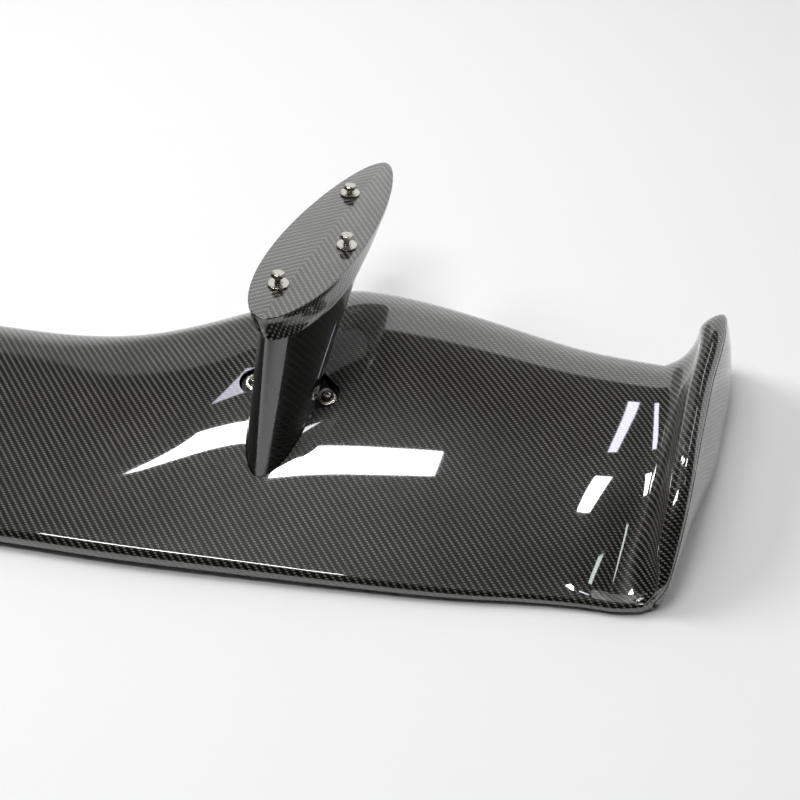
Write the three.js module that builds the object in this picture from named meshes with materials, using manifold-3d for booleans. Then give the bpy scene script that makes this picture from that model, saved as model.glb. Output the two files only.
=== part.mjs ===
// Racing rear wing, resting belly up on its top skin: two moulded carbon skins on
// a frame of spars and ribs, and two raked pedestal legs that end in oval feet.
// Millimetres. +X runs along the span, +Y from trailing to leading edge, +Z up, and
// the floor is at Z = 0. The group is moved last, to put its origin under its middle.
import * as THREE from 'three';
import { mergeVertices } from 'three/addons/utils/BufferGeometryUtils.js';
import Module from 'manifold-3d';

const wasm = await Module();
wasm.setup();

// ---- Driving dimensions ------------------------------------------------------

const GAP = 0.3; // between touching parts
const SKIN = 2.4; // laminate thickness of both blade skins
const BLADE_HALF = 630; // where the flat of the blade ends and the cheek begins
const CREST_AT = 0.84; // chord fraction of the thickest station
const ARCH = 5; // hollow of the top skin above the floor
const PART_LINE = 0.31; // height of the leading seam as a share of the crest

// Each table pairs a span position with a value. A smooth curve joins the rows.
const TRAILING_Y = [[0, -34.5], [230, -34.5], [370, -29], [530, -19.5], [650, -6]];
const EDGE_R = [[0, 10], [250, 10], [460, 8], [570, 6.2], [650, 5.5]]; // radius of the trailing edge's nose
const LEADING_Y = [
  [0, 200], [120, 200], [200, 209], [295, 248], [400, 298], [450, 294], [560, 271], [640, 253], [720, 246],
];
const FULLNESS = [[0, 0.8], [150, 0.8], [400, 1]]; // less than 1 fills out the belly behind the crest
const CREST_Z = [[0, 35], [150, 35], [245, 43], [345, 60], [410, 65], [500, 64], [650, 57.5]];

// End plate, by distance along the chord.
const RIM_Y = [3, 255]; // first and last of the upper rim
const RIM_X = [[3, 700], [9, 707], [18, 710], [65, 717], [113, 722], [182, 731], [255, 742]];
const RIM_Z = [[3, 9], [10, 25], [40, 48], [65, 64], [113, 80], [182, 86], [255, 94]];
const RIM_WIDTH = [[3, 7], [40, 17], [255, 22]];
const FOOT_LINE_X = [[3, 705], [60, 722], [104, 736], [150, 749], [200, 757], [255, 764]];
const VALLEY_X = [[3, 668], [45, 674], [105, 686], [255, 697]];
const VALLEY_DROP = [[3, 9], [60, 9], [140, 6], [255, 3]];
const FRONT_REACH = 40; // how far the plate runs ahead of its rim
const FRONT_LOW_Z = 12;
const FRONT_LOW_X = 752;
const FACE_BULGE = 3;
const ROLL = 0.78; // share of the shoulder that is round before the hollow begins

// Legs. The ear plane carries the leg on the wing, and the foot plane bolts to the lid.
const EAR_PLANE = { x: 366.5, y: 118, z: 42, tilt: 10.3, heading: 4 };
const FOOT_PLANE = { x: 384, y: 239, z: 154.2, tilt: -8.5, heading: 10.7 };
const EAR_THICK = 3.5;
const COLUMN_BASE = { across: -2.5, along: 0, long: 147, wide: 51 };
const COLUMN_TOP = { across: 7, along: -48, long: 186, wide: 60 };
const COLUMN_WALL = 3;
const FOOT = { long: 281, wide: 73.5, taper: 0.18, edge: 3, deep: 18, lip: 1.6 };
const MOUNT_PLATE = { long: 148, wide: 92, thick: 6, back: 6 };

// Fasteners are M6 throughout.
const BOLT = { shank: 3, length: 16, acrossFlats: 10, head: 4 };
const WASHER = { outer: 9, inner: 3.3, thick: 1.6 };
const BUTTON = { head: 5.25, high: 3.3, length: 11 };
const INSERT = { outer: 6, length: 13, sunk: 0.4 };
const BOLT_CLEAR = 0.35;
const FOOT_BOLTS = { near: [-6.5, -92], middle: [22.5, -14], far: [-8.6, 70] }; // across, along
const BACKED_OUT = { near: 6, middle: 6, far: 3.5 }; // from the washer to the underside of the head
const EAR_BOLTS = { outer: [32, 27], inner: [-35.5, 27] };
const EYE = 13; // radius of an ear round its bolt

// ---- Materials -----------------------------------------------------------------

const finish = (color, roughness, metalness) =>
  new THREE.MeshStandardMaterial({ color, roughness, metalness });
const carbon = () => finish(0x1b1c1f, 0.16, 0.05);
const rawCarbon = () => finish(0x2a2a2c, 0.55, 0.05);
const steel = () => finish(0xc9c8c2, 0.25, 1);
const aluminium = () => finish(0xa9abad, 0.4, 1);

// ---- Small tools ----------------------------------------------------------------

const lerp = THREE.MathUtils.lerp;
const rad = THREE.MathUtils.degToRad;
const range = (count) => Array.from({ length: count }, (_, index) => index);

/** Value of a table at a position, on a smooth curve through its rows. */
function tableAt(table, position) {
  const last = table.length - 1;
  const x = THREE.MathUtils.clamp(Math.abs(position), table[0][0], table[last][0]);
  const rise = (i) => (table[i + 1][1] - table[i][1]) / (table[i + 1][0] - table[i][0]);
  const slope = (i) => {
    if (i === 0 || i === last || rise(i - 1) * rise(i) <= 0) return 0;
    return (2 * rise(i - 1) * rise(i)) / (rise(i - 1) + rise(i));
  };
  const i = Math.min(table.findIndex((row, n) => n === last || x <= table[n + 1][0]), last - 1);
  const width = table[i + 1][0] - table[i][0];
  const s = (x - table[i][0]) / width;
  const ease = s * s * (3 - 2 * s);
  return lerp(table[i][1], table[i + 1][1], ease)
    + width * s * (1 - s) * (slope(i) * (1 - s) - slope(i + 1) * s);
}

/** Geometry from a list of points and a list of triangles. */
function meshOf(points, triangles) {
  const geometry = new THREE.BufferGeometry();
  const numbers = points.flatMap((point) => point.toArray());
  geometry.setAttribute('position', new THREE.Float32BufferAttribute(numbers, 3));
  geometry.setIndex(triangles.flat());
  return geometry;
}

function toSolid(geometry) {
  const bare = geometry.clone();
  bare.deleteAttribute('normal');
  bare.deleteAttribute('uv');
  const merged = mergeVertices(bare, 1e-4);
  return new wasm.Manifold(new wasm.Mesh({
    numProp: 3,
    vertProperties: merged.getAttribute('position').array,
    triVerts: new Uint32Array(merged.index.array),
  }));
}

function toGeometry(solid) {
  const mesh = solid.getMesh();
  const geometry = new THREE.BufferGeometry();
  geometry.setAttribute('position', new THREE.BufferAttribute(mesh.vertProperties.slice(), 3));
  geometry.setIndex(new THREE.BufferAttribute(mesh.triVerts.slice(), 1));
  return geometry;
}

/** Mirror image across the middle of the span, with its faces still outward. */
function mirrored(geometry) {
  const copy = geometry.clone().scale(-1, 1, 1);
  const index = copy.index.array;
  for (let i = 0; i < index.length; i += 3) [index[i], index[i + 1]] = [index[i + 1], index[i]];
  return copy;
}

/** Closed solid through rings of equal length, capped at both ends. */
function loft(rings) {
  const count = rings[0].length;
  const points = rings.flat();
  const triangles = [];
  for (let r = 0; r + 1 < rings.length; r += 1) {
    for (let k = 0; k < count; k += 1) {
      const a = r * count + k;
      const b = r * count + ((k + 1) % count);
      triangles.push([a, b, b + count], [a, b + count, a + count]);
    }
  }
  const lastStart = (rings.length - 1) * count;
  for (let k = 1; k + 1 < count; k += 1) {
    triangles.push([0, k + 1, k], [lastStart, lastStart + k, lastStart + k + 1]);
  }
  return meshOf(points, triangles);
}

/**
 * Closed shell of even thickness under a grid of outer points, given row by row.
 * The outermost rows and columns only steer the thickness, and aren't built.
 */
function shell(steered, thickness) {
  const inside = (list) => list.slice(1, -1);
  const grid = inside(steered).map(inside);
  const rows = grid.length;
  const columns = grid[0].length;
  const inner = grid.map((row, r) => row.map((point, c) => {
    const across = steered[r + 1][c + 2].clone().sub(steered[r + 1][c]);
    const along = steered[r + 2][c + 1].clone().sub(steered[r][c + 1]);
    return point.clone().addScaledVector(across.cross(along).normalize(), -thickness);
  }));
  const points = [...grid.flat(), ...inner.flat()];
  const under = rows * columns;
  const triangles = [];
  for (let r = 0; r + 1 < rows; r += 1) {
    for (let c = 0; c + 1 < columns; c += 1) {
      const a = r * columns + c;
      const b = a + columns;
      triangles.push([a, a + 1, b + 1], [a, b + 1, b]);
      triangles.push([under + a, under + b + 1, under + a + 1], [under + a, under + b, under + b + 1]);
    }
  }
  const border = [
    ...range(columns - 1).map((c) => c),
    ...range(rows - 1).map((r) => r * columns + columns - 1),
    ...range(columns - 1).map((c) => rows * columns - 1 - c),
    ...range(rows - 1).map((r) => (rows - 1 - r) * columns),
  ];
  border.forEach((a, k) => {
    const b = border[(k + 1) % border.length];
    triangles.push([a, under + a, under + b], [a, under + b, b]);
  });
  return meshOf(points, triangles);
}

// ---- Blade surfaces ---------------------------------------------------------------

const trailingY = (x) => tableAt(TRAILING_Y, x);
const leadingY = (x) => tableAt(LEADING_Y, x);
const crestZ = (x) => tableAt(CREST_Z, x);
const crestY = (x) => lerp(trailingY(x), leadingY(x), CREST_AT);
const seamZ = (x) => PART_LINE * crestZ(x);
const edgeR = (x) => tableAt(EDGE_R, x);

/** Height of the belly over the floor; share runs from trailing edge to crest. */
function bellyZ(x, share) {
  return lerp(2 * edgeR(x), crestZ(x), Math.sin((Math.PI / 2) * share) ** tableAt(FULLNESS, x));
}

const topSkinZ = (share) => ARCH * Math.sin(Math.PI * share) ** 2;
const shareAt = (x, y) => {
  const start = trailingY(x) + edgeR(x);
  return THREE.MathUtils.clamp((y - start) / (crestY(x) - start), 0, 1);
};

// Rows run from under the trailing bullnose, over the belly, to the leading seam.
// The first and last row only steer the skins' thickness.
const EDGE_ANGLES = [-130, -90, -45, 0, 45];
const SHARES = [0, 0.025, 0.06, 0.15, 0.26, 0.38, 0.51, 0.65, 0.82, 1];
const NOSE_ANGLES = [23, 46, 68, 90, 113];
const ROWS = [
  ...EDGE_ANGLES.map((angle) => ({ zone: 'edge', angle: rad(angle) })),
  ...SHARES.map((share) => ({ zone: 'belly', share })),
  ...NOSE_ANGLES.map((angle) => ({ zone: 'nose', angle: rad(angle) })),
];
const HALF_STATIONS = [0, 90, 160, 200, 240, 280, 320, 360, 400, 440, 500, 560, 600, BLADE_HALF];

/** Point of the belly skin on the flat part of the span. */
function bellyPoint(row, x) {
  if (row.zone === 'edge') {
    const y = trailingY(x) + edgeR(x) * (1 - Math.cos(row.angle));
    return new THREE.Vector3(x, y, edgeR(x) * (1 + Math.sin(row.angle)));
  }
  if (row.zone === 'belly') {
    return new THREE.Vector3(x, lerp(trailingY(x) + edgeR(x), crestY(x), row.share), bellyZ(x, row.share));
  }
  const y = crestY(x) + (leadingY(x) - crestY(x)) * Math.sin(row.angle);
  return new THREE.Vector3(x, y, seamZ(x) + (crestZ(x) - seamZ(x)) * Math.cos(row.angle));
}

/** Outer edge of the end plate's rim, where the two skins meet. */
function rimPoint(row) {
  if (row.zone === 'edge') {
    const low = RIM_Z[0][1];
    return new THREE.Vector3(RIM_X[0][1], RIM_Y[0], lerp(1, low - 1, (row.angle / Math.PI) + 0.5));
  }
  if (row.zone === 'belly') {
    const y = lerp(RIM_Y[0], RIM_Y[1], row.share);
    return new THREE.Vector3(tableAt(RIM_X, y), y, tableAt(RIM_Z, y));
  }
  const top = new THREE.Vector3(tableAt(RIM_X, RIM_Y[1]), RIM_Y[1], tableAt(RIM_Z, RIM_Y[1]));
  return new THREE.Vector3(
    lerp(top.x, FRONT_LOW_X, 1 - Math.cos(row.angle)),
    top.y + FRONT_REACH * Math.sin(row.angle),
    FRONT_LOW_Z + (top.z - FRONT_LOW_Z) * Math.cos(row.angle),
  );
}

/** Cheek stations from the blade's flat, down to the valley, up the wall and over the rim. */
function cheekPoints(row) {
  const start = bellyPoint(row, BLADE_HALF);
  const rim = rimPoint(row);
  const chordY = THREE.MathUtils.clamp(rim.y, RIM_Y[0], RIM_Y[1]);
  const isEdge = row.zone === 'edge';
  const width = isEdge ? RIM_WIDTH[0][1] : tableAt(RIM_WIDTH, chordY);
  const fade = row.zone === 'nose' ? Math.cos(row.angle) : 1;
  const drop = isEdge ? 0 : tableAt(VALLEY_DROP, chordY) * fade * Math.min(1, (row.share ?? 1) / 0.05);
  const valley = new THREE.Vector3(tableAt(VALLEY_X, chordY), start.y, start.z - drop);
  const crown = new THREE.Vector3(rim.x - width, lerp(start.y, rim.y, 0.6), isEdge ? valley.z : rim.z - 2);
  crown.z = Math.max(crown.z, valley.z * (row.zone === 'nose' ? 0 : 1));
  const shoulder = [0.33, 0.67, 1].map((s) => new THREE.Vector3(
    lerp(start.x, valley.x, s),
    start.y,
    lerp(start.z, valley.z, s < ROLL ? s * s / ROLL : 1 - (1 - s) ** 2 / (1 - ROLL)),
  ));
  const wall = [30, 60, 90].map((angle) => new THREE.Vector3(
    lerp(valley.x, crown.x, Math.sin(rad(angle))),
    lerp(valley.y, crown.y, angle / 90),
    lerp(valley.z, crown.z, 1 - Math.cos(rad(angle))),
  ));
  const over = [60, 120, 180, 230].map((angle) => {
    const s = (1 - Math.cos(rad(angle))) / 2;
    const point = crown.clone().lerp(rim, s);
    point.z += (isEdge ? 0 : 0.4 * width * fade) * Math.sin(rad(angle));
    return point;
  });
  return [...shoulder, ...wall, ...over];
}

const LAST_CHEEK = cheekPoints(ROWS.find((row) => row.angle === rad(90) && row.zone === 'nose'));
const BELLY_EDGE = { valley: LAST_CHEEK[2], crown: LAST_CHEEK[5] };

/** Full row of a skin from the left rim to the right rim. */
function fullRow(flat, side) {
  const right = [...flat, ...side];
  const left = right.slice(1).reverse().map((p) => new THREE.Vector3(-p.x, p.y, p.z));
  return [...left, ...right];
}

function bellyGrid() {
  return ROWS.map((row) => fullRow(HALF_STATIONS.map((x) => bellyPoint(row, x)), cheekPoints(row)));
}

/** Point of the top skin, which lies on the floor, on the flat part of the span. */
function topPoint(row, x) {
  if (row.zone === 'belly') {
    const start = trailingY(x) + edgeR(x) + GAP;
    return new THREE.Vector3(x, lerp(start, crestY(x), row.share), topSkinZ(row.share));
  }
  const y = crestY(x) + (leadingY(x) - crestY(x)) * Math.sin(row.angle);
  return new THREE.Vector3(x, y, (seamZ(x) - GAP) * (1 - Math.cos(row.angle)));
}

/** Side stations of the top skin: out to the plate's foot line, then up its outer face. */
function outerPoints(row) {
  const start = topPoint(row, BLADE_HALF);
  const rim = rimPoint(row);
  const chordY = THREE.MathUtils.clamp(rim.y, RIM_Y[0], RIM_Y[1]);
  const lift = row.zone === 'nose' ? 1 - Math.cos(row.angle) : 0;
  rim.x += lerp(2 * GAP, SKIN + 5 * GAP, Math.sqrt(lift));
  rim.z -= GAP;
  const footX = lerp(tableAt(FOOT_LINE_X, chordY), FRONT_LOW_X + 3, lift);
  const footY = rim.y + (row.zone === 'nose' ? 0 : 3 * (1 - row.share));
  const round = lerp(Math.min(9, rim.z * 0.5), 3, lift);
  const floorZ = lerp(0, FRONT_LOW_Z * 0.7, lift);
  const end = new THREE.Vector3(footX - round, footY, floorZ);
  // Towards the leading edge the run lifts off the floor to meet the belly skin's edge.
  const run = [[0.45, BELLY_EDGE.valley], [0.8, BELLY_EDGE.crown]].map(([share, seam]) => {
    const flat = start.clone().lerp(end, share);
    flat.z = lerp(start.z, floorZ, share * (2 - share));
    return flat.lerp(new THREE.Vector3(seam.x, seam.y, seam.z - GAP), lift);
  });
  const side = [
    ...run,
    end,
    new THREE.Vector3(footX - 0.3 * round, footY, floorZ + 0.3 * round),
    new THREE.Vector3(footX, footY, floorZ + round),
  ];
  const bottom = side[4];
  const face = [0.5, 1, 1.5].map((s) => {
    const point = bottom.clone().lerp(rim, s);
    point.x += FACE_BULGE * Math.sin(Math.PI * s) * (1 - lift);
    return point;
  });
  return [...side, ...face];
}

function topGrid() {
  const before = { zone: 'belly', share: -SHARES[1] };
  const rows = [before, ...ROWS.filter((row) => row.zone !== 'edge')];
  return rows.map((row) => fullRow(HALF_STATIONS.map((x) => topPoint(row, x)), outerPoints(row)));
}

// ---- Inner frame -------------------------------------------------------------------

const CLEAR = 1.4; // spars and ribs stop short of the skins by this and are bonded
const bellyUnderside = (x, y) => bellyZ(x, shareAt(x, y)) - SKIN - CLEAR;
const topUpperside = (x, y) => topSkinZ(shareAt(x, y)) + SKIN + CLEAR;

/** Upright web along a path of plan points, between two height functions. */
function web(path, thick, lowAt, highAt) {
  const rings = path.map(([x, y], k) => {
    const [ax, ay] = path[Math.max(k - 1, 0)];
    const [bx, by] = path[Math.min(k + 1, path.length - 1)];
    const side = new THREE.Vector2(ay - by, bx - ax).setLength(thick / 2);
    const low = lowAt(x, y);
    const high = highAt(x, y);
    return [
      new THREE.Vector3(x - side.x, y - side.y, low),
      new THREE.Vector3(x + side.x, y + side.y, low),
      new THREE.Vector3(x + side.x, y + side.y, high),
      new THREE.Vector3(x - side.x, y - side.y, high),
    ];
  });
  return loft(rings);
}

const SPAR_STEP = 45;
const SPAR_HALF = 585;
const SPAR_THICK = 4;
const REAR_SPAR_IN = 42; // from the trailing edge
const FRONT_SPAR_IN = 64; // from the leading edge

function spar(yAt) {
  const count = Math.round((2 * SPAR_HALF) / SPAR_STEP);
  const path = range(count + 1).map((k) => {
    const x = -SPAR_HALF + k * SPAR_STEP;
    return [x, yAt(x)];
  });
  return web(path, SPAR_THICK, topUpperside, bellyUnderside);
}

const rearSparY = (x) => trailingY(x) + REAR_SPAR_IN;
const frontSparY = (x) => leadingY(x) - FRONT_SPAR_IN;

function chordRib(x, yFrom, yTo, highAt) {
  const steps = 6;
  const path = range(steps + 1).map((k) => [x, lerp(yFrom, yTo, k / steps)]);
  return web(path, SPAR_THICK, topUpperside, highAt);
}

// ---- Legs ----------------------------------------------------------------------------

/** Matrix of a plane whose Y runs along its heading and whose Z is its normal. */
function planeMatrix({ x, y, z, tilt, heading }) {
  return new THREE.Matrix4().makeTranslation(x, y, z)
    .multiply(new THREE.Matrix4().makeRotationX(rad(tilt)))
    .multiply(new THREE.Matrix4().makeRotationZ(-rad(heading)));
}

const EAR_MATRIX = planeMatrix(EAR_PLANE);
const FOOT_MATRIX = planeMatrix(FOOT_PLANE);
const RING_STEPS = 24;
const POINTED = 1.1; // 1 is an ellipse, more draws the ends to a point
const BAR_SIDES = 14;

/** Streamlined ring on a plane: an oval that may taper towards its far end. */
function ovalRing(matrix, { across = 0, along, long, wide, taper = 0 }, height, grow = 0) {
  return range(RING_STEPS).map((k) => {
    const angle = (2 * Math.PI * k) / RING_STEPS;
    const side = Math.abs(Math.sin(angle)) ** POINTED * Math.sign(Math.sin(angle));
    return new THREE.Vector3(
      across + (wide / 2 + grow) * side * (1 + taper * Math.cos(angle)),
      along - (long / 2 + grow) * Math.cos(angle),
      height,
    ).applyMatrix4(matrix);
  });
}

const COLUMN_LEVELS = 4;
const COLUMN_FOOT_Z = -EAR_THICK; // on the ear plane
const COLUMN_HEAD_Z = -FOOT.deep - GAP; // on the foot plane

/** Rings of the column, from the ear plane to the foot, run on at both ends by a share. */
function columnRings(grow, runOn = 0) {
  const base = ovalRing(EAR_MATRIX, COLUMN_BASE, COLUMN_FOOT_Z, grow);
  const head = ovalRing(FOOT_MATRIX, COLUMN_TOP, COLUMN_HEAD_Z, grow);
  return range(COLUMN_LEVELS + 1).map((level) => {
    const share = lerp(-runOn, 1 + runOn, level / COLUMN_LEVELS);
    return base.map((point, k) => point.clone().lerp(head[k], share));
  });
}

/** Outline of an ear with its bolt eye, on the ear plane, reaching out to the right. */
function earShape(across, along, grow) {
  const shape = new THREE.Shape();
  shape.moveTo(4, along - 29 - grow);
  shape.lineTo(across - 14, along - 22 - grow);
  shape.absarc(across - 2, along - 2, EYE + grow, rad(-75), rad(38), false);
  shape.lineTo(across - 11, along + 21 + grow);
  shape.lineTo(4, along + 30 + grow);
  return shape;
}

/** Both ears, or the prisms that cut their pockets, placed on the ear plane. */
function earPair(grow, low, high) {
  return Object.values(EAR_BOLTS).map(([across, along]) => {
    const shape = earShape(Math.abs(across), along, grow);
    const settings = { depth: high - low, bevelEnabled: false, curveSegments: 5 };
    const ear = new THREE.ExtrudeGeometry(shape, settings).translate(0, 0, low);
    const plain = mergeVertices(ear.deleteAttribute('normal').deleteAttribute('uv'));
    return (across > 0 ? plain : mirrored(plain)).applyMatrix4(EAR_MATRIX);
  });
}

/** Round bar between two heights of a plane, at a place across and along it. */
function bar(matrix, radius, low, high, [across, along], sides = BAR_SIDES) {
  const geometry = new THREE.CylinderGeometry(radius, radius, high - low, sides);
  geometry.rotateX(Math.PI / 2).translate(across, along, (low + high) / 2);
  return geometry.applyMatrix4(matrix);
}

function legColumn() {
  let solid = toSolid(loft(columnRings(0)));
  for (const ear of earPair(0, -EAR_THICK, 0)) solid = solid.add(toSolid(ear));
  solid = solid.subtract(toSolid(loft(columnRings(-COLUMN_WALL, 0.02))));
  for (const place of Object.values(EAR_BOLTS)) {
    solid = solid.subtract(toSolid(bar(EAR_MATRIX, BOLT.shank + BOLT_CLEAR, -EAR_THICK - 1, 1, place)));
  }
  return toGeometry(solid);
}

/** Foot: a thin-edged oval plate that draws in to the head of the column. */
function footCap() {
  const plate = { along: 0, long: FOOT.long, wide: FOOT.wide, taper: FOOT.taper };
  const head = { ...COLUMN_TOP, long: COLUMN_TOP.long + 2 * FOOT.lip, wide: COLUMN_TOP.wide + 2 * FOOT.lip };
  const blend = (share) => ({
    across: lerp(0, head.across, share),
    along: lerp(plate.along, head.along, share),
    long: lerp(plate.long, head.long, share),
    wide: lerp(plate.wide, head.wide, share),
    taper: lerp(plate.taper, 0, share),
  });
  const rings = [
    ovalRing(FOOT_MATRIX, head, -FOOT.deep),
    ovalRing(FOOT_MATRIX, blend(0.62), -0.8 * FOOT.deep),
    ovalRing(FOOT_MATRIX, blend(0.22), -0.45 * FOOT.deep),
    ovalRing(FOOT_MATRIX, blend(0), -FOOT.edge),
    ovalRing(FOOT_MATRIX, blend(0), 0),
  ];
  let solid = toSolid(loft(rings));
  for (const place of Object.values(FOOT_BOLTS)) {
    solid = solid.subtract(toSolid(bar(FOOT_MATRIX, INSERT.outer + GAP, -FOOT.deep - 1, 1, place)));
  }
  return toGeometry(solid);
}

/** Tube from two bars. */
function sleeve(matrix, outer, inner, low, high, place) {
  return toGeometry(toSolid(bar(matrix, outer, low, high, place))
    .subtract(toSolid(bar(matrix, inner, low - 1, high + 1, place))));
}

/** Threaded insert, bonded just below the face of the foot. */
function footInsert(place) {
  const high = -INSERT.sunk;
  return sleeve(FOOT_MATRIX, INSERT.outer, BOLT.shank + BOLT_CLEAR, high - INSERT.length, high, place);
}

/** Hex bolt, backed out of its insert by a distance. */
function hexBolt(place, backedOut) {
  const seat = GAP + WASHER.thick + backedOut;
  const head = bar(FOOT_MATRIX, BOLT.acrossFlats / Math.sqrt(3), seat, seat + BOLT.head, place, 6);
  const shank = bar(FOOT_MATRIX, BOLT.shank, seat - BOLT.length, seat + 1, place);
  return toGeometry(toSolid(head).add(toSolid(shank)));
}

/** Button-head bolt through an ear into the mounting plate. */
function buttonBolt(place) {
  const seat = WASHER.thick + 2 * GAP;
  const profile = [
    [0, seat - BUTTON.length], [BOLT.shank, seat - BUTTON.length], [BOLT.shank, seat], [BUTTON.head, seat],
    [BUTTON.head, seat + 0.25 * BUTTON.high], [0.8 * BUTTON.head, seat + 0.8 * BUTTON.high],
    [0.45 * BUTTON.head, seat + BUTTON.high], [0, seat + BUTTON.high],
  ].map(([radius, z]) => new THREE.Vector2(radius, z));
  const geometry = new THREE.LatheGeometry(profile, BAR_SIDES);
  geometry.rotateX(Math.PI / 2).translate(place[0], place[1], 0);
  return toGeometry(toSolid(geometry.applyMatrix4(EAR_MATRIX)));
}

function earWasher(place) {
  return sleeve(EAR_MATRIX, WASHER.outer, WASHER.inner, GAP, GAP + WASHER.thick, place);
}

function footWasher(place) {
  return sleeve(FOOT_MATRIX, WASHER.outer, WASHER.inner, GAP, GAP + WASHER.thick, place);
}

const LEG_RIB_OUT = 38; // from the middle of the leg
const LEG_RIB_HALF = 72;

/** Aluminium plate bonded inside the blade, drilled for the two ear bolts. */
function mountPlate() {
  const top = -EAR_THICK - GAP;
  const box = new THREE.BoxGeometry(MOUNT_PLATE.wide, MOUNT_PLATE.long, MOUNT_PLATE.thick);
  box.translate(0, -MOUNT_PLATE.back, top - MOUNT_PLATE.thick / 2).applyMatrix4(EAR_MATRIX);
  let solid = toSolid(box);
  for (const place of Object.values(EAR_BOLTS)) {
    const hole = bar(EAR_MATRIX, BOLT.shank + BOLT_CLEAR, top - MOUNT_PLATE.thick - 1, top + 1, place);
    solid = solid.subtract(toSolid(hole));
  }
  return toGeometry(solid);
}

/** Chordwise rib under one side of the mounting plate. */
function legRib(side) {
  const underPlate = -EAR_THICK - 2 * GAP - MOUNT_PLATE.thick;
  const { x, y: midY, z, tilt } = EAR_PLANE;
  const highAt = (_, y) => z + (y - midY) * Math.tan(rad(tilt)) + underPlate / Math.cos(rad(tilt)) - GAP;
  return chordRib(x + side * LEG_RIB_OUT, midY - LEG_RIB_HALF, midY + LEG_RIB_HALF, highAt);
}

// ---- Assembly ----------------------------------------------------------------------------

const wing = new THREE.Group();

function add(name, geometry, material) {
  const mesh = new THREE.Mesh(geometry, material);
  mesh.name = name;
  wing.add(mesh);
}

const OPENING_GAP = 0.8;

/** Belly skin with an opening for each leg and a pocket for each ear. */
function bellySkin() {
  const openings = [loft(columnRings(OPENING_GAP, 0.08)), ...earPair(2 * OPENING_GAP, -6, 40)];
  let solid = toSolid(shell(bellyGrid(), SKIN));
  for (const opening of openings) {
    solid = solid.subtract(toSolid(opening)).subtract(toSolid(mirrored(opening)));
  }
  return toGeometry(solid);
}

function topSkin() {
  // The rows run the other way up here, so the shell is built from the reversed grid.
  return shell(topGrid().map((row) => [...row].reverse()), SKIN);
}

add('belly_skin', bellySkin(), carbon());
add('top_skin', topSkin(), carbon());
add('rear_spar', spar(rearSparY), rawCarbon());
add('front_spar', spar(frontSparY), rawCarbon());

const END_RIB_X = 596;
const END_RIB_SHORT = 8; // clear of both spars
for (const [side, flip] of [['right', (geometry) => geometry], ['left', mirrored]]) {
  const addSide = (name, geometry, material) => add(`${side}_${name}`, flip(geometry), material);
  const ribFrom = rearSparY(END_RIB_X) + END_RIB_SHORT;
  const ribTo = frontSparY(END_RIB_X) - END_RIB_SHORT;
  addSide('end_rib', chordRib(END_RIB_X, ribFrom, ribTo, bellyUnderside), rawCarbon());
  addSide('leg_column', legColumn(), carbon());
  addSide('mount_plate', mountPlate(), aluminium());
  for (const [place, spot] of Object.entries(EAR_BOLTS)) {
    addSide(`leg_rib_${place}`, legRib(Math.sign(spot[0])), rawCarbon());
    addSide(`ear_washer_${place}`, earWasher(spot), steel());
    addSide(`ear_bolt_${place}`, buttonBolt(spot), steel());
  }
  addSide('foot_cap', footCap(), carbon());
  for (const [place, spot] of Object.entries(FOOT_BOLTS)) {
    addSide(`foot_insert_${place}`, footInsert(spot), steel());
    addSide(`foot_washer_${place}`, footWasher(spot), steel());
    addSide(`foot_bolt_${place}`, hexBolt(spot, BACKED_OUT[place]), steel());
  }
}

const box = new THREE.Box3().setFromObject(wing);
wing.position.y = -(box.min.y + box.max.y) / 2;

export default wing;
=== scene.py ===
"""Studio scene of a carbon-fibre rear wing lying belly up, built around its packed design model.

Shapes are worked out in millimetres, with Y measured from the design's own datum, and are
moved into the frame, in metres, when a piece is finished.
"""

import logging
import math
from collections.abc import Callable, Sequence
from dataclasses import dataclass
from enum import Enum

import bmesh
import bpy
from bmesh.types import BMesh
from mathutils import Matrix, Vector


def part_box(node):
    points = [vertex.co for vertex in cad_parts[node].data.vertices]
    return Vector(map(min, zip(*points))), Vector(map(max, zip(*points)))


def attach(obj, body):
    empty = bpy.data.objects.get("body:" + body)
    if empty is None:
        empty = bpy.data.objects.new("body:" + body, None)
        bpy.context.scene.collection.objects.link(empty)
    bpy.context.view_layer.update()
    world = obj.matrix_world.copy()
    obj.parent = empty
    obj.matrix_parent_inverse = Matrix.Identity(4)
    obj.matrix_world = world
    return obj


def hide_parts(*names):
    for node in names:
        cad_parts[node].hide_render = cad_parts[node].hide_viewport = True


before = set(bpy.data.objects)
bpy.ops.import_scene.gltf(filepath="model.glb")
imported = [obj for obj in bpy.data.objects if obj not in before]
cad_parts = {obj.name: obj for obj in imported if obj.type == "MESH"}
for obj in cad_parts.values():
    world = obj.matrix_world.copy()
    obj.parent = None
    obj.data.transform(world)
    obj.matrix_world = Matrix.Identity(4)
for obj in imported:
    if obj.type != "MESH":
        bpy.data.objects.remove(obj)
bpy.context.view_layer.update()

log = logging.getLogger("rear_wing")

Table = tuple[tuple[float, float], ...]
Place = tuple[float, float]

MM = 0.001
GAP = 0.3
CAD_TRAILING_Y = -34.5  # the design's lowest Y, which fixes the datum in the frame
DATUM_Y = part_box("belly_skin")[0].y / MM - CAD_TRAILING_Y


# ---- Small tools ---------------------------------------------------------------------


def lerp(a: float, b: float, share: float) -> float:
    """Value between a and b."""
    return a + (b - a) * share


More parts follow.
